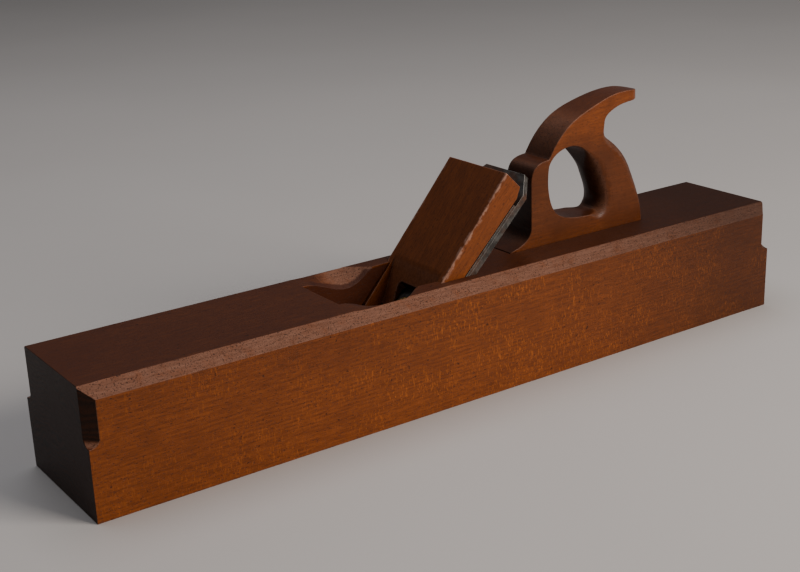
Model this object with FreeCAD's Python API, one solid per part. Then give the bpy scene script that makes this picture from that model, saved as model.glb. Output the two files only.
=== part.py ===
import FreeCAD, Part
import math
import os

V = FreeCAD.Vector

# A wooden fore plane with a double iron, in millimetres.
# Origin: centre of the sole. +X runs from toe to heel, +Z up, and the plane is symmetric about XZ.

# ---------------------------------------------------------------- driving dimensions
# stock
stock_length = 558.8            # 22 in
stock_width = 95.3              # 3 3/4 in
stock_height = 82.5             # 3 1/4 in
long_chamfer_top = 8.4          # leg of the long chamfer on the top face
long_chamfer_side = 7.2         # leg of the long chamfer on the side face
corner_chamfer = 7.3            # leg of the stopped chamfer on each upright corner
corner_stop_height = 46.5       # where the upright chamfer runs out, above the sole
corner_stop_run = 4.5           # height of its scooped stop
corner_stop_bow = (0.72, 0.3)   # the scoop's middle, as shares of the chamfer's depth and of the run

# bed, mouth and escapement
bed_angle = 45.0                # common pitch
bed_foot_x = -75.0              # where the bed meets the sole
mouth_gap = 2.8                 # from the cutting edge to the front of the mouth
breast_top_x = -96.0            # front edge of the escapement at the top face
cheek_half_front = 22.0         # half width of the escapement at its front edge
cheek_half_rear = 27.5          # half width between the abutments at the top face
abutment_foot = 2.0             # least height at which the abutments run out into the mouth
screw_groove_width = 21.0       # groove in the bed that clears the head of the cap screw
screw_groove_depth = 5.2
screw_groove_lead = 3.0         # how far the groove runs below the screw's head
throat_foot = 0.5               # length of the escapement's floor where the abutments run out

# scooped bevel on the top of each cheek
scoop_front_x = -96.0
scoop_rear_x = -40.0
scoop_depth = 9.8               # at the cheek's inner wall
scoop_skew = 1.8                # above 1 the deepest place lies nearer the wedge
scoop_edge_dip = 0.6            # what it takes off the outer arris
scoop_rear_lift = 13.0          # how fast it climbs out of the wood at its rear end
scoop_rear_share = 0.72         # where that climb starts, as a share of its length
scoop_rear_power = 1.5          # how gently it starts
scoop_front_share = 0.15        # how soon the dip of the arris is full
scoop_end_drop = -0.3           # past both ends the cut lies above the wood
scoop_reach_in = 18.0           # how far the cut runs past the cheek's inner wall
scoop_reach_out = 12.0          # and past the outer arris

# irons
iron_width = 63.5               # 2 1/2 in
iron_length = 196.5
iron_thickness = 4.2
iron_bevel_angle = 28.0
iron_clip_width = 11.0          # clipped top corners
iron_clip_length = 15.0
iron_slot_width = 10.6
iron_slot_top_travel = 55.0     # from the screw to the centre of the keyhole
iron_keyhole_radius = 9.6
iron_slot_lead = 2.0            # play below the screw at the foot of the slot
edge_lift = 0.3                 # the iron is drawn back just inside the mouth
cap_thickness = 2.2
cap_length = 171.0
cap_setback = 1.2               # from the cutting edge to the edge of the cap iron
cap_hump_length = 40.0
cap_hump_height = 4.6
cap_tip_height = 0.5            # thickness of the cap iron's own edge
cap_nose_direction = (0.6, 0, 0.8)      # how steeply its front rises

# cap screw and its boss
screw_position = 73.0           # along the iron, from the cutting edge
screw_radius = 4.8
screw_head_radius = 8.8
screw_head_height = 3.2
screw_slot_width = 1.7
screw_slot_depth = 1.5
boss_radius = 11.0
boss_height = 5.2
boss_spigot_radius = 7.5
boss_edge_chamfer = 0.8

# wedge
wedge_angle = 4.1
wedge_thickness_at_top_face = 14.2
wedge_head = 85.0               # along the bed, from the stock's top face to the wedge's end
wedge_tip = 50.0                # along the bed, from the bed's foot to the tips of the prongs
wedge_bevel_rise = 5.6          # where the bevel starts, above the stock's top face along the bed
wedge_bevel_angle = 69.0
wedge_prong_edge = 4.95         # width of the strip under each abutment
wedge_gap_half = 15.5           # half width of the gap between the prongs
wedge_gap_top = 87.0            # along the bed, from the bed's foot to the top of the gap
wedge_gap_corner = 4.0
wedge_back_relief = 8.0         # length of the eased corner behind the wedge's head
wedge_back_relief_depth = 3.6
wedge_tip_height = 2.0          # blunt end of the prongs

# tote
tote_thickness = 27.0
tote_front_x = 50.5             # tip of the foot
tote_length = 126.4             # along the stock's top face
tote_height = 97.0              # above the stock's top face
tote_tenon = 15.0               # depth let into the stock
tote_tenon_setback = 6.0        # from the tip of the foot to the tenon
tote_grip_round = 6.0           # rounding of the grip and the hand hole
horn_reach = 0.992              # where the horn ends, as a share of the tote's length
horn_top_share = 1.0            # heights of its blunt end, as shares of the tote's height
horn_low_share = 0.937
horn_round = 11.0               # rounding of the horn's end, seen from above

# clearances
sliding_gap = 0.1               # between bed and iron, and between cap iron and wedge
side_gap = 0.45                 # each side of the iron and the wedge
abutment_gap = 0.3              # between wedge and abutments
glue_gap = 0.1                  # each side of the tote's tenon
thread_gap = 0.05               # radial, between screw and boss
passing_margin = 2.0            # how far each cut runs past the face that it opens
same_place = 0.01               # points closer than this are one point

# ---------------------------------------------------------------- worked-out values
half_length = stock_length / 2
half_width = stock_width / 2
top = stock_height
bed_rad = math.radians(bed_angle)
iron_back = sliding_gap
iron_front = iron_back + iron_thickness
cap_front = iron_front + cap_thickness
wedge_back = cap_front + sliding_gap
edge_along = (edge_lift - iron_front * math.cos(bed_rad)) / math.sin(bed_rad)
slot_half_width = iron_width / 2 + side_gap
screw_along = edge_along + screw_position
bed_top_along = top / math.sin(bed_rad)


def bed_point(along, out, y=0.0):
    """A point given along the bed and out from it, from the bed's foot."""
    x = bed_foot_x + along * math.cos(bed_rad) - out * math.sin(bed_rad)
    z = along * math.sin(bed_rad) + out * math.cos(bed_rad)
    return V(x, y, z)


def on_bed(shape):
    """Turns a shape drawn along +X and out along +Z onto the bed."""
    shape.rotate(V(0, 0, 0), V(0, 1, 0), -bed_angle)
    shape.translate(V(bed_foot_x, 0, 0))
    return shape


def prism_y(points, half):
    """A prism across the plane from a closed outline of (x, z) points."""
    ring = [V(x, -half, z) for x, z in points]
    face = Part.Face(Part.makePolygon(ring + ring[:1]))
    return face.extrude(V(0, 2 * half, 0))


def solid_from(rings):
    """A solid with flat faces from its closed rings of points."""
    faces = [Part.Face(Part.makePolygon(ring + ring[:1])) for ring in rings]
    return Part.makeSolid(Part.makeShell(faces))


def box_between(low, high):
    size = high - low
    return Part.makeBox(size.x, size.y, size.z, low)


# the abutment line, out from the bed, seen along the bed
wedge_slope = math.tan(math.radians(wedge_angle))
top_face_along = bed_top_along - (wedge_back + wedge_thickness_at_top_face) / math.tan(bed_rad)
wedge_front_at_top = wedge_back + wedge_thickness_at_top_face


def wedge_front(along):
    return wedge_front_at_top + (along - top_face_along) * wedge_slope


def line_x_at(point_a, point_b, z):
    """Where the line through two points reaches height z."""
    share = (z - point_a.z) / (point_b.z - point_a.z)
    return point_a.x + share * (point_b.x - point_a.x)


abutment_low = bed_point(0, wedge_front(0) + abutment_gap)
abutment_high = bed_point(bed_top_along, wedge_front(bed_top_along) + abutment_gap)
mouth_front_x = bed_point(edge_along, iron_front).x - mouth_gap


def bed_x(z):
    return bed_foot_x + z / math.tan(bed_rad)


def breast_x(z):
    """The front wall of the escapement, from the mouth up to the top face."""
    return mouth_front_x + (breast_top_x - mouth_front_x) * z / top


def abutment_x(z):
    return line_x_at(abutment_low, abutment_high, z)


# the abutments lean forward faster than the breast, and run out where they meet it
lean_difference = (abutment_x(top) - abutment_x(0) - breast_x(top) + breast_x(0)) / top
run_out = max(abutment_foot, (breast_x(0) - abutment_x(0)) / lean_difference)


# ---------------------------------------------------------------- stock
def stock_block():
    section = [
        (-half_width, 0), (half_width, 0), (half_width, top - long_chamfer_side),
        (half_width - long_chamfer_top, top), (-half_width + long_chamfer_top, top),
        (-half_width, top - long_chamfer_side)]
    ring = [V(-half_length, y, z) for y, z in section]
    return Part.Face(Part.makePolygon(ring + ring[:1])).extrude(V(stock_length, 0, 0))


def corner_cut(sign_x, sign_y):
    """The stopped chamfer on one upright corner, with a scooped stop at its foot."""
    depth = corner_chamfer / math.sqrt(2)
    reach = 2 * depth
    stop = corner_stop_height
    run = corner_stop_run
    start = V(-reach, 0, stop)
    foot = V(0, 0, stop)
    bow_depth, bow_run = corner_stop_bow
    middle = V(depth * bow_depth, 0, stop + run * bow_run)
    shoulder = V(depth, 0, stop + run)
    head = V(depth, 0, top + passing_margin)
    outer = V(-reach, 0, top + passing_margin)
    edges = [
        Part.LineSegment(start, foot).toShape(), Part.Arc(foot, middle, shoulder).toShape(),
        Part.LineSegment(shoulder, head).toShape(), Part.LineSegment(head, outer).toShape(),
        Part.LineSegment(outer, start).toShape()]
    face = Part.Face(Part.Wire(edges))
    face.translate(V(0, -reach, 0))
    cut = face.extrude(V(0, 2 * reach, 0))
    inward = math.degrees(math.atan2(-sign_y, -sign_x))
    cut.rotate(V(0, 0, 0), V(0, 0, 1), inward)
    cut.translate(V(sign_x * half_length, sign_y * half_width, 0))
    return cut


def iron_slot():
    """The slot for irons and wedge, from the bed to the abutments, open at the sole."""
    head = top + passing_margin
    foot = -passing_margin
    outline = [
        (bed_x(foot), foot), (bed_x(head), head), (abutment_x(head), head),
        (abutment_x(run_out), run_out), (breast_x(run_out), run_out), (mouth_front_x, 0),
        (mouth_front_x, foot)]
    if abutment_x(run_out) - breast_x(run_out) < same_place:
        del outline[4]
    return prism_y(outline, slot_half_width)


def escapement():
    """The throat in front of the abutments, whose cheeks widen down to the mouth."""
    head = top + passing_margin
    foot = run_out
    rise = (head - foot) / (top - foot)
    foot_half = slot_half_width
    front_half = foot_half + (cheek_half_front - foot_half) * rise
    rear_half = foot_half + (cheek_half_rear - foot_half) * rise
    rear_foot_x = max(abutment_x(foot), breast_x(foot) + throat_foot)
    low_front = [V(breast_x(foot), side * foot_half, foot) for side in (-1, 1)]
    low_rear = [V(rear_foot_x, side * foot_half, foot) for side in (-1, 1)]
    high_front = [V(breast_x(head), side * front_half, head) for side in (-1, 1)]
    high_rear = [V(abutment_x(head), side * rear_half, head) for side in (-1, 1)]
    rings = [
        [low_front[0], low_front[1], high_front[1], high_front[0]],
        [low_rear[0], low_rear[1], high_rear[1], high_rear[0]],
        [high_front[0], high_front[1], high_rear[1], high_rear[0]],
        [low_front[0], low_front[1], low_rear[1], low_rear[0]]]
    for side in (0, 1):
        rings.append([low_front[side], high_front[side], high_rear[side]])
        rings.append([low_front[side], high_rear[side], low_rear[side]])
    return solid_from(rings)


def screw_groove():
    """The groove down the bed for the head of the cap screw, open at the top face."""
    low_along = screw_along - screw_head_radius - screw_groove_lead
    high_along = bed_top_along + screw_groove_depth / math.tan(bed_rad) + passing_margin
    low = V(low_along, -screw_groove_width / 2, -screw_groove_depth)
    high = V(high_along, screw_groove_width / 2, passing_margin)
    return on_bed(box_between(low, high))


def scoop_section(share):
    """One section of a cheek's scooped bevel, at a share of its length from the front."""
    x = scoop_front_x + share * (scoop_rear_x - scoop_front_x)
    wall_y = cheek_half_rear
    arris_y = half_width - long_chamfer_top
    inside = min(max(share, 0.0), 1.0)
    wall_drop = scoop_depth * math.sin(math.pi * inside ** scoop_skew)
    late = max(0.0, (share - scoop_rear_share) / (1 - scoop_rear_share))
    front_dip = scoop_edge_dip * min(1.0, inside / scoop_front_share)
    arris_drop = front_dip - scoop_rear_lift * late ** scoop_rear_power
    if share < 0 or share > 1:
        wall_drop = scoop_end_drop
        arris_drop = min(arris_drop, scoop_end_drop)
    slope = (wall_drop - arris_drop) / (arris_y - wall_y)
    inner_y = wall_y - scoop_reach_in
    outer_y = arris_y + scoop_reach_out
    inner_z = top - wall_drop - slope * (wall_y - inner_y)
    outer_z = top - arris_drop + slope * (outer_y - arris_y)
    lid = 2 * top
    ring = [V(x, inner_y, inner_z), V(x, outer_y, outer_z), V(x, outer_y, lid), V(x, inner_y, lid)]
    return Part.makePolygon(ring + ring[:1])


def cheek_scoop(side):
    shares = (-0.05, 0.08, 0.2, 0.35, 0.5, 0.62, 0.72, 0.82, 0.9, 0.97, 1.03)
    scoop = Part.makeLoft([scoop_section(share) for share in shares], True, True)
    if side < 0:
        scoop = scoop.mirror(V(0, 0, 0), V(0, 1, 0))
    return scoop


def tote_mortise():
    low = V(tote_front_x + tote_tenon_setback - glue_gap, -tote_thickness / 2 - glue_gap, top - tote_tenon)
    high = V(tote_front_x + tote_length + glue_gap, tote_thickness / 2 + glue_gap, top + passing_margin)
    return box_between(low, high)


def make_stock():
    stock = stock_block()
    cuts = [corner_cut(sx, sy) for sx in (-1, 1) for sy in (-1, 1)]
    cuts += [iron_slot(), escapement(), screw_groove(), tote_mortise()]
    cuts += [cheek_scoop(1), cheek_scoop(-1)]
    for cut in cuts:
        stock = stock.cut(cut)
    return stock


# ---------------------------------------------------------------- irons
def make_cutting_iron():
    half = iron_width / 2
    heel_of_bevel = edge_along + iron_thickness / math.tan(math.radians(iron_bevel_angle))
    end = edge_along + iron_length
    outline = [
        (edge_along, iron_front), (heel_of_bevel, iron_back), (end, iron_back), (end, iron_front)]
    iron = prism_y(outline, half)
    past = passing_margin
    through = V(0, 0, iron_front + 2 * past)
    for side in (-1, 1):
        ring = [
            V(end + past, side * (half - iron_clip_width * (1 + past / iron_clip_length)), -past),
            V(end + past, side * (half + past), -past),
            V(end - iron_clip_length, side * (half + past), -past),
            V(end - iron_clip_length, side * half, -past)]
        iron = iron.cut(Part.Face(Part.makePolygon(ring + ring[:1])).extrude(through))
    slot_half = iron_slot_width / 2
    slot_low = screw_along - screw_radius - iron_slot_lead
    keyhole = screw_along + iron_slot_top_travel
    slot = box_between(V(slot_low, -slot_half, -past), V(keyhole, slot_half, iron_front + past))
    end_round = Part.makeCylinder(slot_half, through.z, V(slot_low, 0, -past))
    hole = Part.makeCylinder(iron_keyhole_radius, through.z, V(keyhole, 0, -past))
    return on_bed(iron.cut(slot).cut(end_round).cut(hole))


def spline(points, start=None, end=None):
    """A smooth curve through (x, z) points, with end directions where they are given."""
    curve = Part.BSplineCurve()
    places = [V(x, 0, z) for x, z in points]
    if start is None:
        curve.interpolate(places)
    else:
        curve.interpolate(Points=places, InitialTangent=V(*start), FinalTangent=V(*end))
    return curve.toShape()


def line(a, b):
    return Part.LineSegment(V(a[0], 0, a[1]), V(b[0], 0, b[1])).toShape()


def make_cap_iron():
    """The cap iron: flat, with a hump behind the edge that bears on the cutting iron."""
    foot = edge_along + cap_setback
    base = iron_front
    flat_from = foot + cap_hump_length
    end = foot + cap_length
    under = [
        (foot, base), (foot + 0.16 * cap_hump_length, base + 0.68 * cap_hump_height),
        (foot + 0.36 * cap_hump_length, base + cap_hump_height),
        (foot + 0.66 * cap_hump_length, base + 0.52 * cap_hump_height), (flat_from, base)]
    over = [
        (foot, base + cap_tip_height),
        (foot + 0.12 * cap_hump_length, base + 0.68 * cap_hump_height + 0.5 * cap_thickness),
        (foot + 0.35 * cap_hump_length, base + cap_hump_height + cap_thickness),
        (foot + 0.68 * cap_hump_length, base + 0.52 * cap_hump_height + cap_thickness),
        (flat_from, base + cap_thickness)]
    flat = (1, 0, 0)
    edges = [
        spline(under, cap_nose_direction, flat), line((flat_from, base), (end, base)),
        line((end, base), (end, base + cap_thickness)),
        line((end, base + cap_thickness), (flat_from, base + cap_thickness)),
        spline(over, cap_nose_direction, flat), line((foot, base + cap_tip_height), (foot, base))]
    face = Part.Face(Part.Wire(Part.__sortEdges__(edges)))
    face.translate(V(0, -iron_width / 2, 0))
    cap = face.extrude(V(0, iron_width, 0))
    hole_foot = V(screw_along, 0, base - passing_margin)
    hole = Part.makeCylinder(boss_spigot_radius, cap_thickness + 2 * passing_margin, hole_foot)
    return on_bed(cap.cut(hole))


def make_cap_boss():
    """The threaded boss: a round nut riveted through the cap iron."""
    spigot = Part.makeCylinder(boss_spigot_radius, cap_thickness, V(screw_along, 0, iron_front))
    head = Part.makeCylinder(boss_radius, boss_height, V(screw_along, 0, cap_front))
    rim = [e for e in head.Edges if abs(e.BoundBox.ZMin - cap_front - boss_height) < same_place
           and e.BoundBox.XLength > boss_radius]
    head = head.makeChamfer(boss_edge_chamfer, rim)
    bore_length = cap_thickness + boss_height + 2 * passing_margin
    bore_foot = V(screw_along, 0, iron_front - passing_margin)
    bore = Part.makeCylinder(screw_radius + thread_gap, bore_length, bore_foot)
    return on_bed(spigot.fuse(head).removeSplitter().cut(bore))


def make_cap_screw():
    """The cap screw: its head lies behind the cutting iron, in the groove of the bed."""
    head_base = iron_back - screw_head_height
    head = Part.makeCylinder(screw_head_radius, screw_head_height, V(screw_along, 0, head_base))
    shank_length = cap_front + boss_height - iron_back
    shank = Part.makeCylinder(screw_radius, shank_length, V(screw_along, 0, iron_back))
    reach = screw_head_radius + passing_margin
    slot = box_between(
        V(screw_along - reach, -screw_slot_width / 2, head_base - passing_margin),
        V(screw_along + reach, screw_slot_width / 2, head_base + screw_slot_depth))
    return on_bed(head.fuse(shank).removeSplitter().cut(slot))


# ---------------------------------------------------------------- wedge
def wedge_body():
    head_along = top_face_along + wedge_head
    head_front = wedge_front(head_along)
    tip_front = wedge_front(wedge_tip)
    outline = [
        (wedge_tip, wedge_back), (head_along - wedge_back_relief, wedge_back),
        (head_along, wedge_back + wedge_back_relief_depth), (head_along, head_front),
        (wedge_tip + tip_front - wedge_back, tip_front + (tip_front - wedge_back) * wedge_slope),
        (wedge_tip, wedge_back + wedge_tip_height)]
    return prism_y(outline, iron_width / 2)


def wedge_bevel():
    """What the bevel takes off the middle of the front face, down to the prongs."""
    start_along = top_face_along + wedge_bevel_rise
    start_out = wedge_front(start_along)
    turn = math.radians(wedge_bevel_angle - bed_angle)
    reach = start_along
    far = (start_along - reach * math.cos(turn), start_out - reach * math.sin(turn))
    clear = start_out + wedge_thickness_at_top_face
    outline = [(start_along, start_out), far, (far[0], clear), (start_along, clear)]
    return prism_y(outline, iron_width / 2 - wedge_prong_edge)


def wedge_gap():
    low = V(wedge_tip - passing_margin, -wedge_gap_half, 0)
    high = V(wedge_gap_top, wedge_gap_half, wedge_front(wedge_gap_top) + passing_margin)
    gap = box_between(low, high)
    top_face = [f for f in gap.Faces if f.BoundBox.XMin > high.x - same_place][0]
    corners = [e for e in top_face.Edges if e.BoundBox.ZLength > same_place]
    return gap.makeFillet(wedge_gap_corner, corners)


def make_wedge():
    return on_bed(wedge_body().cut(wedge_bevel()).cut(wedge_gap()))


# ---------------------------------------------------------------- tote
# Points are shares of the tote's length and height, from the tip of its foot on the top face.
def tote_xz(share_x, share_z):
    return (tote_front_x + share_x * tote_length, top + share_z * tote_height)


def tote_curve(shares):
    return spline([tote_xz(*share) for share in shares])


def tote_outline():
    horn_top = (horn_reach, horn_top_share)
    horn_low = (horn_reach, horn_low_share)
    foot_curve = [(0.0, 0.0), (0.083, 0.034), (0.137, 0.082), (0.156, 0.145)]
    shoulder = [(0.156, 0.48), (0.163, 0.535), (0.188, 0.59), (0.23, 0.617), (0.287, 0.628)]
    back = [(0.287, 0.628), (0.335, 0.722), (0.452, 0.862), (0.62, 0.953), (0.82, 1.01), horn_top]
    horn_under = [
        horn_low, (0.865, 0.922), (0.768, 0.885), (0.712, 0.828), (0.71, 0.762), (0.77, 0.68)]
    grip_back = [(0.77, 0.68), (0.855, 0.592), (0.93, 0.462), (0.98, 0.29), (1.0, 0.12)]
    heel = tote_xz(1.0, 0.0)
    deep = top - tote_tenon
    tenon_front = tote_front_x + tote_tenon_setback
    front_foot = tote_xz(0.0, 0.0)
    edges = [
        tote_curve(foot_curve), line(tote_xz(0.156, 0.145), tote_xz(0.156, 0.48)),
        tote_curve(shoulder), tote_curve(back), line(tote_xz(*horn_top), tote_xz(*horn_low)),
        tote_curve(horn_under + grip_back[1:]), line(tote_xz(1.0, 0.12), heel),
        line(heel, (heel[0], deep)), line((heel[0], deep), (tenon_front, deep)),
        line((tenon_front, deep), (tenon_front, top)), line((tenon_front, top), front_foot)]
    return Part.Wire(Part.__sortEdges__(edges))


def hand_hole():
    ring = [
        (0.286, 0.557), (0.281, 0.445), (0.295, 0.326), (0.34, 0.215), (0.44, 0.158), (0.58, 0.14),
        (0.665, 0.16), (0.685, 0.24), (0.668, 0.33), (0.64, 0.42), (0.603, 0.53), (0.545, 0.645),
        (0.47, 0.687), (0.385, 0.677), (0.318, 0.628)]
    curve = Part.BSplineCurve()
    curve.interpolate(Points=[V(x, 0, z) for x, z in [tote_xz(*p) for p in ring]], PeriodicFlag=True)
    return Part.Wire(curve.toShape())


def make_tote():
    half = tote_thickness / 2
    body = Part.Face(tote_outline()).extrude(V(0, tote_thickness, 0))
    body.translate(V(0, -half, 0))
    hole = Part.Face(hand_hole()).extrude(V(0, 4 * half, 0))
    hole.translate(V(0, -2 * half, 0))
    tip_x, tip_z = tote_xz(horn_reach, horn_low_share)
    tip = [e for e in body.Edges if e.BoundBox.YLength < same_place and e.BoundBox.ZMin > tip_z - same_place
           and e.BoundBox.XMin > tip_x - same_place]
    tote = body.makeFillet(horn_round, tip).cut(hole)
    rims = [e for e in tote.Edges if e.BoundBox.YLength < same_place and len(e.Vertexes) == 1]
    return tote.makeFillet(tote_grip_round, rims)


# ---------------------------------------------------------------- export
nodes = {
    "stock": make_stock(),
    "tote": make_tote(),
    "wedge": make_wedge(),
    "cutting_iron": make_cutting_iron(),
    "cap_iron": make_cap_iron(),
    "cap_boss": make_cap_boss(),
    "cap_screw": make_cap_screw(),
}

os.makedirs("parts", exist_ok=True)
for name, shape in nodes.items():
    solids = shape.Solids
    print(name, "solids", len(solids), "valid", shape.isValid(), "volume", round(shape.Volume, 1))
    shape.exportStep("parts/" + name + ".step")
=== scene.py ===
"""Looks of a wooden fore plane: a worn beech stock, tote and wedge, and old steel irons."""
import math

import bmesh
import bpy
from bpy.props import FloatProperty, FloatVectorProperty, PointerProperty
from mathutils import Matrix, Vector, noise


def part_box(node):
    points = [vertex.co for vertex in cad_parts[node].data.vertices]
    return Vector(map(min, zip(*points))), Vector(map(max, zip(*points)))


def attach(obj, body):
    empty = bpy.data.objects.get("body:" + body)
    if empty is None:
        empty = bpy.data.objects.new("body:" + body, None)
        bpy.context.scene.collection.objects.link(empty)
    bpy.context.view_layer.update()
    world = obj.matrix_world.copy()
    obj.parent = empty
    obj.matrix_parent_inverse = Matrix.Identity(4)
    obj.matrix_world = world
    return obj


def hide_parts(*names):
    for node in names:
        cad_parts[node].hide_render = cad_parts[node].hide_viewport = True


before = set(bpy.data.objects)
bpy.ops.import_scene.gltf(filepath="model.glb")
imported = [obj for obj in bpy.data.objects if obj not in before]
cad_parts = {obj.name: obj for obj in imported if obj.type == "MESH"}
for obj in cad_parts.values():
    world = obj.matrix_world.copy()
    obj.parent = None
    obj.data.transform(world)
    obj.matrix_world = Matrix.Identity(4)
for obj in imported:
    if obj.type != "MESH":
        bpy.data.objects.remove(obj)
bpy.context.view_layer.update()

bl_info = {
    "name": "Wooden Fore Plane",
    "version": (1, 0, 0),
    "blender": (4, 5, 0),
    "location": "View3D > Sidebar > Fore Plane",
    "description": "Gives a wooden fore plane its worn shapes, woods and metals",
    "category": "Object",
}

BED_TURN = math.radians(45.0)       # the bed's pitch, which irons and wedge lie along
TO_MM = 1000.0                      # patterns are drawn in millimetres

# how finely meshes are cut and cleaned, in metres
SAME_PLACE = 2e-6                   # vertices closer than this are one vertex
STOCK_STEPS = (0.006, 0.012, 0.012)     # along X, Y and Z, for wear to move
WEDGE_STEPS = (0.005, 0.006, 0.005)
TOTE_STEP = 0.004
TOTE_SHORTEST_EDGE = 0.0003         # of its section, before the outline is divided
TOTE_OUTLINE_STEP = 0.0016
TOTE_CORNER_REACH = 0.0014          # vertices this close to a sharp corner are drawn into it
TOTE_SIDE_INSET = 0.0003            # width of a narrow ring of faces around the flat side
TOTE_SEAM = 1e-5                    # the two halves join where they are this close

TOTE_ROUND_ROWS = 8                 # rows of faces in the rounding

# how much each layer of a finish shows, from 0 to 1
FIBRE_SHARE = 0.92                  # the rest of the figure comes from the rings
PORE_STRENGTH = 0.62
PIT_STRENGTH = 0.75
# painted shade and grime in the stock's throat
THROAT_SHADE_AND_GRIME_STRENGTH = 0.85
BARE_STRENGTH = 0.80
HANDLED_FIBRE = 0.55                # how much of the fibre shows through the patina
END_RINGS = 0.22                    # and how much of the rings in end grain
WOOD_SPECULAR = 0.16
STEEL_SPECULAR = 0.2

FLECK_SPREAD = (-280.0, 60.0, 0.4, 1.0)     # from X, to X in mm, and the strength at each

THROAT_HALF_WIDTH = 0.0285          # across the escapement, darkened with painted shade and grime, in metres
THROAT_FORWARD_SHARE = 2.2          # painted shade and grime reach this many times as far ahead of X = 0 as the wedge
THROAT_TOP_MARGIN = 0.002           # and stops this far below the stock's top face, in metres


# ---------------------------------------------------------------- settings
def colour(label, text, value):
    return FloatVectorProperty(
        name=label, description=text, subtype="COLOR", size=3, min=0.0, max=1.0, default=value)


def length(label, text, value):
    return FloatProperty(name=label, description=text, unit="LENGTH", min=0.0, default=value)


class PlaneShapes(bpy.types.PropertyGroup):
    """Sizes of the wear and rounding that finish the frame's shapes."""

    stock_arris: length("Stock arris", "Width of the worn rounding on the stock", 0.0012)
    wedge_arris: length("Wedge arris", "Width of the worn rounding on the wedge", 0.0010)
    tote_arris: length("Tote arris", "Width of the rounding on the tote's crisp edges", 0.0007)
    metal_arris: length("Metal arris", "Width of the rounding on irons and screw", 0.00025)
    grip_across: length("Grip across", "Rounding of the grip, across the tote's thickness", 0.0128)
    grip_inset: length("Grip inset", "Rounding of the grip, seen from the side", 0.0105)
    wear_depth: length("Wear depth", "Greatest depth of uneven wear on the wood", 0.0004)
    horn_share: FloatProperty(
        name="Horn share", description="Thickness of the horn as a share of the tote's",
        subtype="FACTOR", min=0.5, max=1.0, default=0.78)


class PlaneWoods(bpy.types.PropertyGroup):
    """Colours of the beech, what a century of handling has laid on it, and the painted shade mixed from
    them.
    """

    light: colour("Light beech", "Early wood between the growth rings", (0.225, 0.056, 0.009))
    dark: colour("Dark beech", "Late wood and broad stains", (0.092, 0.021, 0.003))
    fleck: colour("Ray fleck", "Silver grain on the sides", (0.400, 0.105, 0.012))
    # also the near-black colour that the shade ramps darken towards, as painted shade
    pore_and_shade: colour("Pore", "Dirt in the pores and pits", (0.012, 0.004, 0.002))
    # also the colour of painted shade and grime in the stock's throat
    patina: colour("Patina", "Oiled and handled faces", (0.040, 0.011, 0.006))
    worn: colour("Worn", "Bare wood on arrises and chamfers", (0.330, 0.175, 0.120))
    # also paints shade on faces turned along X, such as the stock's corner chamfers and the tote's front
    end: colour("End grain", "End grain, full of old oil", (0.006, 0.003, 0.002))


class PlaneMetals(bpy.types.PropertyGroup):
    """Colours of the irons, the screw and its boss."""

    steel: colour("Steel", "Bare steel on the edges", (0.40, 0.38, 0.35))
    brown: colour("Brown steel", "Patina on the steel", (0.016, 0.013, 0.011))
    rust: colour("Rust", "Old rust", (0.120, 0.045, 0.020))
    brass: colour("Brass", "Aged brass", (0.420, 0.270, 0.090))
    tarnish: colour("Tarnish", "Tarnish on the brass", (0.110, 0.070, 0.030))


class PlaneStage(bpy.types.PropertyGroup):
    """Floor, lights and camera."""

    floor: colour("Floor", "Colour of the floor", (0.50, 0.47, 0.45))
    key: FloatProperty(name="Key", description="Power of the main light", min=0.0, default=52.0)
    sheen: FloatProperty(
        name="Sheen", description="Power of the light overhead", min=0.0, default=14.0)
    ambient: FloatProperty(
        name="Ambient", description="Strength of the room's light", min=0.0, default=0.15)
    lens: FloatProperty(
        name="Lens", description="Focal length", min=1.0, subtype="DISTANCE_CAMERA", default=61.26)
    distance: length("Distance", "From the camera to what it looks at", 1.0151)
    yaw: FloatProperty(
        name="Yaw", description="Turn of the camera about the plane", subtype="ANGLE",
        default=math.radians(-34.37))
    pitch: FloatProperty(
        name="Pitch", description="Height of the camera as an angle", subtype="ANGLE",
        default=math.radians(19.22))
    roll: FloatProperty(
        name="Roll", description="Lean of the camera", subtype="ANGLE", default=math.radians(-2.11))
    target: FloatVectorProperty(
        name="Target", description="What the camera looks at", subtype="XYZ", unit="LENGTH",
        default=(0.02021, 0.07871, 0.04121))


# ---------------------------------------------------------------- meshes
def merged_copy(node):
    """A copy of a frame node's mesh, merged, with its flat faces whole again."""
    bm = bmesh.new()
    bm.from_mesh(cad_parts[node].data)
    bmesh.ops.remove_doubles(bm, verts=bm.verts, dist=SAME_PLACE)
    bmesh.ops.dissolve_limit(
        bm, angle_limit=math.radians(0.4), use_dissolve_boundaries=False,
        verts=bm.verts, edges=bm.edges)
    return bm


def ease_arrises(bm, width, segments=3, sharpest=24.0):
    """Rounds every arris that stands proud and is sharper than an angle in degrees."""
    arrises = [
        e for e in bm.edges
        if len(e.link_faces) == 2 and e.is_convex
        and e.calc_face_angle() > math.radians(sharpest)]
    bmesh.ops.bevel(
        bm, geom=arrises, offset=width, offset_type="OFFSET", segments=segments, profile=0.5,
        affect="EDGES", clamp_overlap=True, loop_slide=True, material=-1)


def slice_along(bm, axis, step):
    """Cuts the whole mesh across an axis at even steps, so that wear has something to move."""
    places = [v.co[axis] for v in bm.verts]
    low, high = min(places), max(places)
    direction = Vector([float(i == axis) for i in range(3)])
    count = int((high - low) / step)
    for i in range(1, count + 1):
        everything = bm.verts[:] + bm.edges[:] + bm.faces[:]
        at = low + (high - low) * i / (count + 1)
        bmesh.ops.bisect_plane(bm, geom=everything, dist=1e-6, plane_co=direction * at, plane_no=direction)


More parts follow.
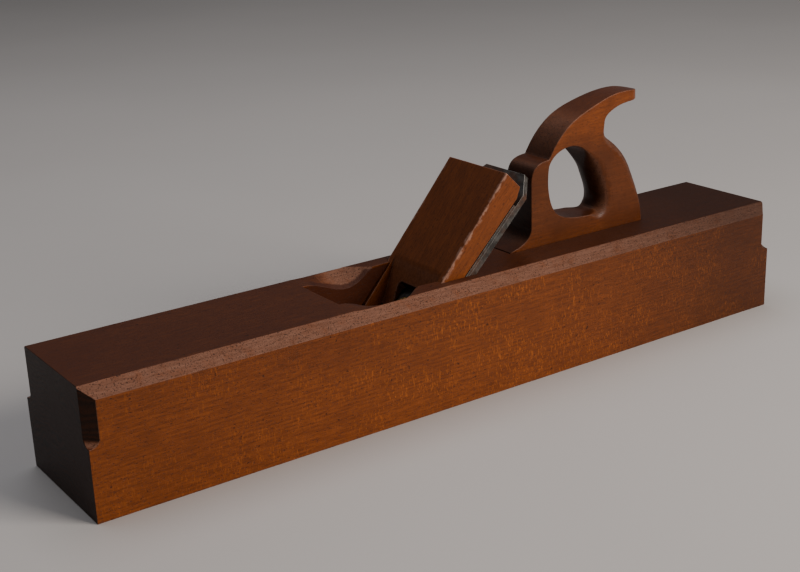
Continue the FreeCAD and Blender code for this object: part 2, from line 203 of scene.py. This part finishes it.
def weather(bm, depth, coarse=0.03, fine=0.006):
    """Lets the surface down by an uneven depth, most of all along its arrises."""
    bm.normal_update()
    for v in bm.verts:
        edge = 1.0 - max(abs(c) for c in v.normal)
        broad = 0.5 + 0.5 * noise.noise(v.co / coarse)
        nick = max(0.0, noise.noise(v.co / fine)) ** 2
        v.co -= v.normal * depth * (0.3 * broad + edge * (1.2 * broad + 5.0 * nick))


def finish_piece(bm, name, body, node, material):
    """Turns a bmesh into a finished piece that rides on a body and stands for a node."""
    for face in bm.faces:
        face.smooth = True
    mesh = bpy.data.meshes.new(name)
    bm.to_mesh(mesh)
    bm.free()
    mesh.materials.append(material)
    piece = bpy.data.objects.new(name, mesh)
    bpy.context.scene.collection.objects.link(piece)
    steady = piece.modifiers.new("steady_normals", "WEIGHTED_NORMAL")
    steady.mode = "FACE_AREA"
    steady.weight = 50
    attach(piece, body)
    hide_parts(node)
    return piece


# ---------------------------------------------------------------- shader helpers
class Web:
    """Puts nodes in one shader tree and wires them up."""

    def __init__(self, tree):
        self.tree = tree

    def put(self, kind, inputs=None, **settings):
        node = self.tree.nodes.new("ShaderNode" + kind)
        for key, value in settings.items():
            setattr(node, key, value)
        for key, value in (inputs or {}).items():
            self.feed(node.inputs[key], value)
        return node

    def feed(self, socket, value):
        if isinstance(value, bpy.types.NodeSocket):
            self.tree.links.new(value, socket)
        else:
            socket.default_value = value

    def math(self, operation, a, b=0.0, clamp=False):
        node = self.put("Math", {0: a, 1: b}, operation=operation, use_clamp=clamp)
        return node.outputs[0]

    def vector(self, operation, a, b=(0.0, 0.0, 0.0)):
        node = self.put("VectorMath", {0: a, 1: b}, operation=operation)
        return node.outputs["Value" if operation in ("LENGTH", "DOT_PRODUCT") else "Vector"]

    def span(self, value, low, high, to_low=0.0, to_high=1.0):
        node = self.put(
            "MapRange",
            {"Value": value, "From Min": low, "From Max": high, "To Min": to_low, "To Max": to_high},
            interpolation_type="SMOOTHSTEP")
        return node.outputs["Result"]

    def mix(self, share, a, b, blend="MIX"):
        node = self.put("Mix", {0: share, 6: a, 7: b}, data_type="RGBA", blend_type=blend)
        return node.outputs[2]

    def noise(self, place, scale=1.0, detail=2.0, roughness=0.5):
        node = self.put(
            "TexNoise", {"Vector": place, "Scale": scale, "Detail": detail, "Roughness": roughness})
        return node.outputs["Fac"]

    def group(self, tree, inputs):
        node = self.put("Group", node_tree=tree)
        for key, value in inputs.items():
            self.feed(node.inputs[key], value)
        return node.outputs


def paint(value):
    return (*value, 1.0)


def new_group(name, inputs, outputs):
    """A shader node group with named sockets, its web, its inputs and its output node."""
    tree = bpy.data.node_groups.new(name, "ShaderNodeTree")
    for label, kind, value in inputs:
        socket = tree.interface.new_socket(label, in_out="INPUT", socket_type="NodeSocket" + kind)
        if value is not None:
            socket.default_value = value
    for label in outputs:
        tree.interface.new_socket(label, in_out="OUTPUT", socket_type="NodeSocketFloat")
    given = tree.nodes.new("NodeGroupInput").outputs
    made = tree.nodes.new("NodeGroupOutput").inputs
    return tree, Web(tree), given, made


def shared_group(name, build):
    return bpy.data.node_groups.get(name) or build(name)


def build_grain(name):
    """Growth rings, fibres, pores and ray flecks of beech whose grain runs along X, in mm."""
    tree, web, given, made = new_group(
        name,
        [("Vector", "Vector", None), ("Pith", "Vector", (0.0, 20.0, -140.0)), ("Ring Width", "Float", 3.2)],
        ["Rings", "Fibre", "Pores", "Flecks"])
    place = given["Vector"]
    drawn_out = web.vector("MULTIPLY", place, (0.012, 1.0, 1.0))
    waver = web.math("MULTIPLY", web.noise(drawn_out, 0.035, 2.0), 26.0)
    across = web.vector("MULTIPLY", web.vector("SUBTRACT", place, given["Pith"]), (0.0, 1.0, 1.0))
    radius = web.math("ADD", web.vector("LENGTH", across), waver)
    turn = web.math("MULTIPLY", web.math("DIVIDE", radius, given["Ring Width"]), 2 * math.pi)
    rings = web.math("MULTIPLY_ADD", web.math("SINE", turn), 0.5)
    rings.node.inputs[2].default_value = 0.5
    fibre = web.noise(web.vector("MULTIPLY", place, (0.10, 1.0, 1.0)), 0.8, 5.0, 0.68)
    pore_noise = web.noise(web.vector("MULTIPLY", place, (0.22, 1.0, 1.0)), 1.7, 2.0, 0.6)
    fleck_noise = web.noise(web.vector("MULTIPLY", place, (1.0, 1.0, 0.26)), 1.25, 3.0, 0.6)
    clusters = web.noise(web.vector("MULTIPLY", place, (1.0, 1.0, 1.4)), 0.022, 3.0, 0.6)
    web.feed(made["Rings"], rings)
    web.feed(made["Fibre"], fibre)
    web.feed(made["Pores"], web.span(pore_noise, 0.56, 0.70))
    flecks = web.math("MULTIPLY", web.span(fleck_noise, 0.53, 0.68), web.span(clusters, 0.34, 0.62))
    web.feed(made["Flecks"], flecks)
    return tree


def build_wear(name):
    """How far a surface leans from the piece's main faces, broken up as wear is."""
    tree, web, given, made = new_group(
        name, [("Vector", "Vector", None), ("Normal", "Vector", None)], ["Mask", "Pits"])
    lean = web.vector("ABSOLUTE", given["Normal"])
    parts = web.put("SeparateXYZ", {0: lean}).outputs
    flattest = web.math("MAXIMUM", web.math("MAXIMUM", parts[0], parts[1]), parts[2])
    leaning = web.span(flattest, 0.975, 0.80)
    patchy = web.noise(given["Vector"], 0.11, 5.0, 0.62)
    speckle = web.noise(given["Vector"], 1.1, 2.0, 0.6)
    worn = web.math("MULTIPLY", leaning, web.span(patchy, 0.22, 0.55, 0.45, 1.0))
    web.feed(made["Mask"], worn)
    pits = web.math("MULTIPLY", leaning, web.span(speckle, 0.56, 0.66))
    web.feed(made["Pits"], pits)
    return tree


def build_grime(name):
    """Broad stains and small dark spots."""
    tree, web, given, made = new_group(
        name, [("Vector", "Vector", None), ("Scale", "Float", 0.02)], ["Stains", "Spots"])
    broad = web.noise(given["Vector"], given["Scale"], 5.0, 0.6)
    spots = web.noise(given["Vector"], web.math("MULTIPLY", given["Scale"], 16.0), 2.0, 0.5)
    web.feed(made["Stains"], web.span(broad, 0.40, 0.66))
    web.feed(made["Spots"], web.span(spots, 0.70, 0.75))
    return tree


def new_material(name):
    """A material with its web and its own shader."""
    material = bpy.data.materials.new(name)
    material.use_nodes = True
    web = Web(material.node_tree)
    return material, web, material.node_tree.nodes["Principled BSDF"]


def place_and_facing(web, turn):
    """Where a point is, in mm, and how it faces, in a frame turned about Y."""
    source = web.put("TexCoord").outputs
    turned = (0.0, turn, 0.0)
    place = web.put("Mapping", {"Vector": source["Object"], "Rotation": turned, "Scale": (TO_MM,) * 3})
    facing = web.put("Mapping", {"Vector": source["Normal"], "Rotation": turned}, vector_type="VECTOR")
    return place.outputs[0], facing.outputs[0]


def inside_box(web, place, low, high, blur=1.5):
    """1 inside a box given in mm, falling to 0 over a short way at its walls."""
    share = 1.0
    parts = web.put("SeparateXYZ", {0: place}).outputs
    for part, a, b in zip(parts, low, high):
        rise = web.span(part, a - blur, a)
        fall = web.span(part, b + blur, b)
        share = web.math("MULTIPLY", web.math("MULTIPLY", rise, fall), share)
    return share


def beside_arris(web, place, direction, front, half, reach=2.2):
    """1 along the arris between a front face and the side faces, falling to 0 over a short way."""
    depth = web.vector("DOT_PRODUCT", place, direction)
    across = web.math("ABSOLUTE", web.put("SeparateXYZ", {0: place}).outputs[1])
    waver = web.span(web.noise(place, 0.16, 4.0, 0.65), 0.32, 0.66, -1.6, 1.2)
    near_front = web.span(web.math("ADD", depth, waver), front - reach, front - 0.3)
    near_side = web.span(web.math("ADD", across, waver), half - reach, half - 0.3)
    return web.math("MULTIPLY", near_front, near_side)


def beech(
        name, turn=0.0, pith=(0.0, 20.0, -140.0), ring=3.2, figure=(0.30, 0.66), flecks=0.6,
        patina=0.8, stain=0.34, speckle=0.7, wear=1.0, facing_for_end_and_shade=(0.80, 0.92), share_for_end_and_shade=0.8,
        rough=0.46, relief=0.55, throat_shade_and_grime=None, painted_shade_ramps=(), strip=None):
    """Old beech: rings, pores and flecks under patina, worn pale on arrises and chamfers, with painted
    shade.

    figure is where the fibre turns from dark to light, and the end span is where a surface turned towards
    the grain's end starts and stops taking the colour of end grain and painted shade. The throat box of
    painted shade and grime and the shade ramps of painted shade, (axis, start, end, strength), are in
    millimetres, and strip is what beside_arris takes.
    """
    tones = bpy.context.scene.plane_woods
    material, web, shader = new_material(name)
    place, facing = place_and_facing(web, turn)
    grain = web.group(
        shared_group("beech_grain", build_grain), {"Vector": place, "Pith": pith, "Ring Width": ring})
    worn = web.group(shared_group("arris_wear", build_wear), {"Vector": place, "Normal": facing})
    grime = web.group(shared_group("old_grime", build_grime), {"Vector": place, "Scale": 0.02})

    fibre_part = web.math("MULTIPLY", grain["Fibre"], FIBRE_SHARE)
    ring_part = web.math("MULTIPLY", grain["Rings"], 1.0 - FIBRE_SHARE)
    depth = web.math("ADD", fibre_part, ring_part)
    wood = web.mix(web.span(depth, *figure), paint(tones.dark), paint(tones.light))
    spread = web.span(web.put("SeparateXYZ", {0: place}).outputs[0], *FLECK_SPREAD)
    shown = web.math("MULTIPLY", spread, web.math("MULTIPLY", grain["Flecks"], flecks))
    wood = web.mix(shown, wood, paint(tones.fleck))
    wood = web.mix(web.math("MULTIPLY", grain["Pores"], PORE_STRENGTH), wood, paint(tones.pore_and_shade))
    wood = web.mix(web.math("MULTIPLY", grime["Stains"], stain), wood, paint(tones.dark))

    parts = web.put("SeparateXYZ", {0: facing}).outputs
    up = web.math("MULTIPLY", web.span(parts[2], 0.86, 0.97), patina)
    handled = web.mix(web.math("MULTIPLY", grain["Fibre"], HANDLED_FIBRE), paint(tones.patina), wood)
    wood = web.mix(up, wood, handled)
    # faces turned along X take the end colour: end grain, and painted shade
    end_and_shade_mask = web.math("MULTIPLY", web.span(web.math("ABSOLUTE", parts[0]), *facing_for_end_and_shade), share_for_end_and_shade)
    end_and_shade_colour = web.mix(web.math("MULTIPLY", grain["Rings"], END_RINGS), paint(tones.end), paint(tones.dark))
    wood = web.mix(end_and_shade_mask, wood, end_and_shade_colour)

    rubbed_bare = web.math("MULTIPLY", worn["Mask"], BARE_STRENGTH * wear)
    bare = web.math("MULTIPLY", web.math("SUBTRACT", 1.0, end_and_shade_mask), rubbed_bare)
    wood = web.mix(bare, wood, web.mix(grain["Fibre"], paint(tones.dark), paint(tones.worn)))
    wood = web.mix(web.math("MULTIPLY", worn["Pits"], PIT_STRENGTH), wood, paint(tones.pore_and_shade))
    wood = web.mix(web.math("MULTIPLY", grime["Spots"], speckle), wood, paint(tones.pore_and_shade))
    if strip:
        patchy = web.span(grain["Fibre"], 0.30, 0.60, 0.35, 0.9)
        rubbed = web.math("MULTIPLY", beside_arris(web, place, *strip), patchy)
        wood = web.mix(rubbed, wood, paint(tones.worn))
    # painted shade: darker along an axis, towards near black
    for axis, start, end, most in painted_shade_ramps:
        along = web.put("SeparateXYZ", {0: place}).outputs[axis]
        wood = web.mix(web.span(along, start, end, 0.0, most), wood, paint(tones.pore_and_shade))
    # the throat box darkens towards the patina colour: painted shade in the recess, with old grime
    if throat_shade_and_grime:
        throat_shade_and_grime_mask = web.math("MULTIPLY", inside_box(web, place, *throat_shade_and_grime), THROAT_SHADE_AND_GRIME_STRENGTH)
        wood = web.mix(throat_shade_and_grime_mask, wood, paint(tones.patina))
    web.feed(shader.inputs["Base Color"], wood)
    shader.inputs["Specular IOR Level"].default_value = WOOD_SPECULAR

    dull = web.math("MULTIPLY_ADD", grain["Fibre"], 0.20)
    dull.node.inputs[2].default_value = rough - 0.10
    dull = web.math("ADD", dull, web.math("MULTIPLY", worn["Mask"], 0.12))
    dull = web.math("ADD", dull, web.math("MULTIPLY", grain["Pores"], 0.15), True)
    web.feed(shader.inputs["Roughness"], dull)
    height = web.math("SUBTRACT", web.math("MULTIPLY", grain["Fibre"], 0.5), grain["Pores"])
    height = web.math("SUBTRACT", height, web.math("MULTIPLY", worn["Pits"], 1.5))
    bump = web.put("Bump", {"Strength": relief, "Distance": 0.00018, "Height": height})
    web.feed(shader.inputs["Normal"], bump.outputs[0])
    return material


def old_steel(name, turn=BED_TURN, clean=0.05):
    """Browned steel with rust and drawn scratches, bright where its edges rub."""
    tones = bpy.context.scene.plane_metals
    material, web, shader = new_material(name)
    place, facing = place_and_facing(web, turn)
    worn = web.group(shared_group("arris_wear", build_wear), {"Vector": place, "Normal": facing})
    grime = web.group(shared_group("old_grime", build_grime), {"Vector": place, "Scale": 0.05})
    drawn = web.noise(web.vector("MULTIPLY", place, (0.04, 1.0, 1.0)), 2.4, 3.0, 0.6)
    mottle = web.noise(place, 0.16, 5.0, 0.65)
    share = web.math("ADD", web.span(mottle, 0.40, 0.66, 0.0, 0.12), web.math("MULTIPLY", drawn, clean))
    metal = web.mix(share, paint(tones.brown), paint(tones.steel))
    metal = web.mix(web.math("MULTIPLY", grime["Stains"], 0.55), metal, paint(tones.rust))
    raised = web.math("ABSOLUTE", web.put("SeparateXYZ", {0: facing}).outputs[2])
    rubbed = web.math("MULTIPLY", worn["Mask"], web.span(raised, 0.10, 0.35))
    metal = web.mix(rubbed, metal, paint(tones.steel))
    web.feed(shader.inputs["Base Color"], metal)
    shine = web.math("MULTIPLY_ADD", rubbed, 0.75)
    shine.node.inputs[2].default_value = 0.15
    web.feed(shader.inputs["Metallic"], shine)
    shader.inputs["Specular IOR Level"].default_value = STEEL_SPECULAR
    web.feed(shader.inputs["Roughness"], web.span(mottle, 0.3, 0.7, 0.42, 0.66))
    height = web.math("ADD", drawn, web.math("MULTIPLY", mottle, 0.7))
    bump = web.put("Bump", {"Strength": 0.4, "Distance": 0.00008, "Height": height})
    web.feed(shader.inputs["Normal"], bump.outputs[0])
    return material


def old_brass(name, turn=BED_TURN):
    """Tarnished brass."""
    tones = bpy.context.scene.plane_metals
    material, web, shader = new_material(name)
    place, facing = place_and_facing(web, turn)
    worn = web.group(shared_group("arris_wear", build_wear), {"Vector": place, "Normal": facing})
    mottle = web.noise(place, 0.35, 5.0, 0.6)
    metal = web.mix(web.span(mottle, 0.38, 0.62), paint(tones.tarnish), paint(tones.brass))
    metal = web.mix(web.math("MULTIPLY", worn["Mask"], 0.7), metal, paint(tones.brass))
    web.feed(shader.inputs["Base Color"], metal)
    shader.inputs["Metallic"].default_value = 0.9
    web.feed(shader.inputs["Roughness"], web.span(mottle, 0.3, 0.7, 0.28, 0.5))
    bump = web.put("Bump", {"Strength": 0.3, "Distance": 0.00008, "Height": mottle})
    web.feed(shader.inputs["Normal"], bump.outputs[0])
    return material


# ---------------------------------------------------------------- tote
def tote_section():
    """The tote's outline and hand hole as two loops of short edges in the middle plane."""
    bm = merged_copy("tote")
    everything = bm.verts[:] + bm.edges[:] + bm.faces[:]
    bmesh.ops.bisect_plane(
        bm, geom=everything, dist=1e-7, plane_co=(0, 0, 0), plane_no=(0, 1, 0),
        clear_inner=True, clear_outer=True)
    bmesh.ops.remove_doubles(bm, verts=bm.verts, dist=TOTE_SHORTEST_EDGE)
    for edge in bm.edges[:]:
        cuts = int(edge.calc_length() / TOTE_OUTLINE_STEP)
        if cuts:
            bmesh.ops.subdivide_edges(bm, edges=[edge], cuts=cuts)
    clear_corners(bm, TOTE_CORNER_REACH)
    return bm


def clear_corners(bm, reach):
    """Draws the vertices that crowd a sharp corner of a loop into the corner itself."""
    corners = []
    for v in bm.verts:
        a, b = [(e.other_vert(v).co - v.co).normalized() for e in v.link_edges]
        if a.angle(-b) > math.radians(35):
            corners.append(v)
    targets = {}
    for v in bm.verts:
        near = min(corners, key=lambda c: (c.co - v.co).length)
        if v not in corners and (near.co - v.co).length < reach:
            targets[v] = near
    bmesh.ops.weld_verts(bm, targetmap=targets)


def walk_loops(bm):
    """The closed loops of a mesh of bare edges, each as a list of vertices in order."""
    left = set(bm.verts)
    loops = []
    while left:
        vert = min(left, key=lambda v: (v.co.x, v.co.z))
        loop = []
        while vert:
            loop.append(vert)
            left.discard(vert)
            ahead = [e.other_vert(vert) for e in vert.link_edges]
            vert = next((v for v in ahead if v in left), None)
        loops.append(loop)
    return loops


def enclosed(loop):
    """Area inside a loop in the XZ plane, positive when it runs from +X towards +Z."""
    pairs = zip(loop, loop[1:] + loop[:1])
    return sum(a.co.x * b.co.z - b.co.x * a.co.z for a, b in pairs) / 2


def outward(before, here, after, hand):
    """Direction out of the wood at a vertex, lengthened at corners so that offsets stay even."""
    sides = []
    for a, b in ((before, here), (here, after)):
        run = (b.co - a.co).normalized()
        sides.append(Vector((run.z, 0.0, -run.x)) * hand)
    return (sides[0] + sides[1]) / max(0.5, 1.0 + sides[0].dot(sides[1]))


def ramp(value, low, high):
    share = min(1.0, max(0.0, (value - low) / (high - low)))
    return share * share * (3 - 2 * share)


def grip_share(co, hole, base, crest):
    """How much of the grip's full rounding a place on the outline gets, from 0 to 1."""
    height = (co.z - base) / (crest - base)
    low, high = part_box("tote")
    along = (co.x - low.x) / (high.x - low.x)
    if hole:
        start = 0.34 + 0.24 * ramp(height, 0.32, 0.18)
        return ramp(along, start, start + 0.12) * ramp(height, 0.66, 0.44)
    return ramp(along, 0.66, 0.72) * ramp(height, 0.80, 0.66) * ramp(height, -0.04, 0.42)


class PLANE_OT_tote(bpy.types.Operator):
    """Shape the tote, with a full round grip and crisp edges elsewhere"""

    bl_idname = "fore_plane.tote"
    bl_label = "Tote"

    def execute(self, context):
        sizes = context.scene.plane_shapes
        low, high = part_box("tote")
        half = high.y
        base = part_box("stock")[1].z
        bm = tote_section()
        at = bm.verts.layers.float_vector.new("outline_place")
        out = bm.verts.layers.float_vector.new("outline_outward")
        grip = bm.verts.layers.float.new("grip_share")
        crisp = bm.verts.layers.float.new("arris_share")
        loops = sorted(walk_loops(bm), key=lambda loop: -abs(enclosed(loop)))
        if len(loops) != 2:
            raise RuntimeError(f"the tote's section has {len(loops)} loops, and it needs 2")
        for index, loop in enumerate(loops):
            hand = math.copysign(1.0, enclosed(loop)) * (1 if index == 0 else -1)
            ring = zip(loop[-1:] + loop[:-1], loop, loop[1:] + loop[:1])
            for before, here, after in ring:
                here[at] = here.co
                here[out] = outward(before, here, after, hand)
                here[grip] = grip_share(here.co, index == 1, base, high.z)
                here[crisp] = 0.12 + 0.88 * ramp(here.co.x, low.x, low.x + 0.010)

        section = abs(enclosed(loops[0])) - abs(enclosed(loops[1]))

        def place_row(verts, turned, inset):
            for v in verts:
                full = v[grip]
                arris = sizes.tote_arris * v[crisp]
                across = arris + full * (sizes.grip_across - arris)
                along = arris + full * (sizes.grip_inset - arris)
                v.co = v[at] - v[out] * (along * (1 - math.cos(turned)) + inset * v[crisp])
                v.co.y = half - across * (1 - math.sin(turned))

        rim = bm.edges[:]
        quarter = math.pi / 2
        steps = [(quarter * i / TOTE_ROUND_ROWS, 0.0) for i in range(TOTE_ROUND_ROWS + 1)]
        steps.append((quarter, TOTE_SIDE_INSET))
        for turned, inset in steps:
            grown = bmesh.ops.extrude_edge_only(bm, edges=rim)["geom"]
            row = {g for g in grown if isinstance(g, bmesh.types.BMVert)}
            rim = [g for g in grown if isinstance(g, bmesh.types.BMEdge) and row.issuperset(g.verts)]
            place_row(row, turned, inset)
        filled = bmesh.ops.triangle_fill(bm, edges=rim, use_beauty=True, use_dissolve=False)["geom"]
        side = sum(g.calc_area() for g in filled if isinstance(g, bmesh.types.BMFace))
        if side < 0.5 * section:
            raise RuntimeError("the tote's side face didn't fill; its rows cross")
        slice_along(bm, 0, TOTE_STEP)
        slice_along(bm, 2, TOTE_STEP)
        self.narrow_horn(bm, low, high, sizes.horn_share)
        everything = bm.verts[:] + bm.edges[:] + bm.faces[:]
        bmesh.ops.mirror(bm, geom=everything, merge_dist=TOTE_SEAM, axis="Y")
        bmesh.ops.remove_doubles(bm, verts=bm.verts, dist=TOTE_SEAM)
        bmesh.ops.recalc_face_normals(bm, faces=bm.faces)
        weather(bm, sizes.wear_depth * 0.5)
        # faces turned along X take the end colour as end grain and painted shade; the ramp darkens the tote
        # from the horn down, painted shade with patina on the grip
        wood = beech(
            "tote_beech", pith=(0.0, 60.0, -60.0), ring=4.0, figure=(0.05, 0.95), flecks=0.08,
            stain=0.7, speckle=0.2, wear=0.7, facing_for_end_and_shade=(0.30, 0.95), share_for_end_and_shade=0.72, rough=0.32,
            relief=0.2, painted_shade_ramps=((2, 168.0, 128.0, 0.42),))
        finish_piece(bm, "shaped_tote", "body", "tote", wood)
        return {"FINISHED"}

    def narrow_horn(self, bm, low, high, share):
        """Thins the horn towards its end and rounds the end off in plan."""
        length = high.x - low.x
        height = high.z - low.z
        end_round = (high.y - low.y) * share / 2
        for v in bm.verts:
            along = ramp(v.co.x, low.x + 0.52 * length, low.x + 0.86 * length)
            raised = ramp(v.co.z, low.z + 0.70 * height, low.z + 0.88 * height)
            keep = 1 - (1 - share) * along * raised
            past = (v.co.x - (high.x - end_round)) / end_round
            if past > 0 and v.co.z > low.z + 0.8 * height:
                keep *= math.sqrt(max(0.0, 1 - min(1.0, past) ** 2))
            v.co.y *= keep


# ---------------------------------------------------------------- other pieces
class PLANE_OT_stock(bpy.types.Operator):
    """Wear the stock's arrises and lay old beech on it"""

    bl_idname = "fore_plane.stock"
    bl_label = "Stock"

    def execute(self, context):
        sizes = context.scene.plane_shapes
        bm = merged_copy("stock")
        ease_arrises(bm, sizes.stock_arris)
        for axis, step in enumerate(STOCK_STEPS):
            slice_along(bm, axis, step)
        weather(bm, sizes.wear_depth)
        # a box over the throat, darkened as painted shade with grime
        wedge_low, wedge_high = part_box("wedge")
        reach = THROAT_HALF_WIDTH * TO_MM
        front = wedge_low.x * TO_MM * THROAT_FORWARD_SHARE
        top = (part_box("stock")[1].z - THROAT_TOP_MARGIN) * TO_MM
        throat_shade_and_grime = ((front, -reach, 0.0), (wedge_high.x * TO_MM, reach, top))
        # faces turned along X, the corner chamfers too, take the end colour as end grain and painted shade;
        # the ramps paint shade darker towards the heel and the top
        wood = beech(
            "stock_beech", figure=(0.18, 0.82), flecks=0.85, patina=0.95, facing_for_end_and_shade=(0.58, 0.70),
            share_for_end_and_shade=0.95, throat_shade_and_grime=throat_shade_and_grime, painted_shade_ramps=((0, 40.0, 270.0, 0.64), (2, 24.0, 84.0, 0.20)))
        finish_piece(bm, "worn_stock", "body", "stock", wood)
        return {"FINISHED"}


class PLANE_OT_wedge(bpy.types.Operator):
    """Wear the wedge's arrises and lay old beech on it"""

    bl_idname = "fore_plane.wedge"
    bl_label = "Wedge"

    def execute(self, context):
        sizes = context.scene.plane_shapes
        bm = merged_copy("wedge")
        bm.normal_update()
        front = max((f for f in bm.faces if f.normal.x < -0.5), key=lambda f: f.calc_area())
        facing = Matrix.Rotation(BED_TURN, 3, "Y") @ front.normal
        reach = front.normal.dot(front.calc_center_median()) * TO_MM
        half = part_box("wedge")[1].y * TO_MM
        ease_arrises(bm, sizes.wedge_arris)
        for axis, step in enumerate(WEDGE_STEPS):
            slice_along(bm, axis, step)
        weather(bm, sizes.wear_depth)
        wood = beech(
            "wedge_beech", turn=BED_TURN, pith=(0.0, 30.0, -60.0), figure=(0.10, 0.95), flecks=0.1,
            patina=0.25, speckle=0.2, relief=0.2, strip=(facing, reach, half))
        finish_piece(bm, "worn_wedge", "wedge", "wedge", wood)
        return {"FINISHED"}


class PLANE_OT_irons(bpy.types.Operator):
    """Ease the cutting iron and the cap iron and brown their steel"""

    bl_idname = "fore_plane.irons"
    bl_label = "Irons"

    def execute(self, context):
        sizes = context.scene.plane_shapes
        for name, body, node, slot in (
                ("old_cutting_iron", "iron", "cutting_iron", "iron_steel"),
                ("old_cap_iron", "cap", "cap_iron", "cap_steel")):
            bm = merged_copy(node)
            ease_arrises(bm, sizes.metal_arris, 2)
            finish_piece(bm, name, body, node, old_steel(slot))
        return {"FINISHED"}


class PLANE_OT_screw(bpy.types.Operator):
    """Ease the cap screw and its brass boss"""

    bl_idname = "fore_plane.screw"
    bl_label = "Cap screw"

    def execute(self, context):
        sizes = context.scene.plane_shapes
        for name, body, node, slot, metal in (
                ("old_cap_screw", "screw", "cap_screw", "screw_steel", old_steel("screw_steel", clean=0.5)),
                ("old_cap_boss", "cap", "cap_boss", "boss_brass", old_brass("boss_brass"))):
            bm = merged_copy(node)
            ease_arrises(bm, sizes.metal_arris, 2)
            finish_piece(bm, name, body, node, metal)
        return {"FINISHED"}


class PLANE_OT_stage(bpy.types.Operator):
    """Lay the floor, hang the lights and set the camera"""

    bl_idname = "fore_plane.stage"
    bl_label = "Stage"

    def execute(self, context):
        look = context.scene.plane_stage
        self.lay_floor(look)
        target = Vector((0.0, 0.0, 0.05))
        self.hang_light("key_light", (0.95, -1.62, 1.05), target, 1.1, 0.8, look.key, (1.0, 0.93, 0.86))
        self.hang_light("sheen_light", (-0.15, 0.5, 1.95), target, 1.8, 1.2, look.sheen, (0.92, 0.94, 1.0))
        world = bpy.data.worlds.new("studio_room")
        world.use_nodes = True
        background = world.node_tree.nodes["Background"]
        background.inputs["Color"].default_value = (0.86, 0.87, 0.90, 1.0)
        background.inputs["Strength"].default_value = look.ambient
        context.scene.world = world
        self.set_camera(context.scene, look)
        return {"FINISHED"}

    def lay_floor(self, look):
        bm = bmesh.new()
        bmesh.ops.create_grid(bm, x_segments=8, y_segments=8, size=8.0)
        bmesh.ops.translate(bm, verts=bm.verts, vec=(0.0, 0.0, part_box("stock")[0].z))
        mesh = bpy.data.meshes.new("studio_floor")
        bm.to_mesh(mesh)
        bm.free()
        material, web, shader = new_material("floor_paper")
        place = web.put("TexCoord").outputs["Object"]
        tone = web.span(web.noise(place, 1.3, 3.0), 0.3, 0.7, 0.97, 1.03)
        floor_tone = web.put("HueSaturation", {"Color": paint(look.floor), "Value": tone}).outputs[0]
        web.feed(shader.inputs["Base Color"], floor_tone)
        shader.inputs["Roughness"].default_value = 0.6
        mesh.materials.append(material)
        floor = bpy.data.objects.new("studio_floor", mesh)
        bpy.context.scene.collection.objects.link(floor)

    def hang_light(self, name, place, target, width, height, power, tint):
        light = bpy.data.lights.new(name, "AREA")
        light.shape = "RECTANGLE"
        light.size = width
        light.size_y = height
        light.energy = power
        light.color = tint
        lamp = bpy.data.objects.new(name, light)
        lamp.location = place
        lamp.rotation_euler = (target - Vector(place)).to_track_quat("-Z", "Y").to_euler()
        bpy.context.scene.collection.objects.link(lamp)

    def set_camera(self, scene, look):
        flat = math.cos(look.pitch)
        back = Vector((math.sin(look.yaw) * flat, -math.cos(look.yaw) * flat, math.sin(look.pitch)))
        right = (-back).cross(Vector((0.0, 0.0, 1.0))).normalized()
        up = right.cross(-back)
        turned = Matrix((right, up, back)).transposed() @ Matrix.Rotation(look.roll, 3, "Z")
        lens = bpy.data.cameras.new("studio_camera")
        lens.lens = look.lens
        lens.sensor_width = 36.0
        lens.clip_end = 50.0
        camera = bpy.data.objects.new("studio_camera", lens)
        stand = Vector(look.target) + back * look.distance
        camera.matrix_world = Matrix.Translation(stand) @ turned.to_4x4()
        scene.collection.objects.link(camera)
        scene.camera = camera


class PLANE_PT_sidebar(bpy.types.Panel):
    """Fore plane settings and pieces"""

    bl_idname = "PLANE_PT_sidebar"
    bl_label = "Fore Plane"
    bl_space_type = "VIEW_3D"
    bl_region_type = "UI"
    bl_category = "Fore Plane"

    def draw(self, context):
        for settings, operators in PANEL_ROWS:
            box = self.layout.box()
            group = getattr(context.scene, settings)
            for key in group.__annotations__:
                box.prop(group, key)
            for operator in operators:
                box.operator(operator.bl_idname)


SETTINGS = {
    "plane_shapes": PlaneShapes,
    "plane_woods": PlaneWoods,
    "plane_metals": PlaneMetals,
    "plane_stage": PlaneStage,
}
PIECES = (PLANE_OT_stock, PLANE_OT_tote, PLANE_OT_wedge, PLANE_OT_irons, PLANE_OT_screw, PLANE_OT_stage)
PANEL_ROWS = (
    ("plane_shapes", ()),
    ("plane_woods", (PLANE_OT_stock, PLANE_OT_tote, PLANE_OT_wedge)),
    ("plane_metals", (PLANE_OT_irons, PLANE_OT_screw)),
    ("plane_stage", (PLANE_OT_stage,)),
)


def register():
    for settings in SETTINGS.values():
        bpy.utils.register_class(settings)
    for cls in (*PIECES, PLANE_PT_sidebar):
        bpy.utils.register_class(cls)
    for key, settings in SETTINGS.items():
        setattr(bpy.types.Scene, key, PointerProperty(type=settings))


def unregister():
    for key in SETTINGS:
        delattr(bpy.types.Scene, key)
    for cls in (PLANE_PT_sidebar, *PIECES, *SETTINGS.values()):
        bpy.utils.unregister_class(cls)


def main():
    register()
    for operator in ("stock", "tote", "wedge", "irons", "screw", "stage"):
        getattr(bpy.ops.fore_plane, operator)()


if __name__ == "__main__":
    main()
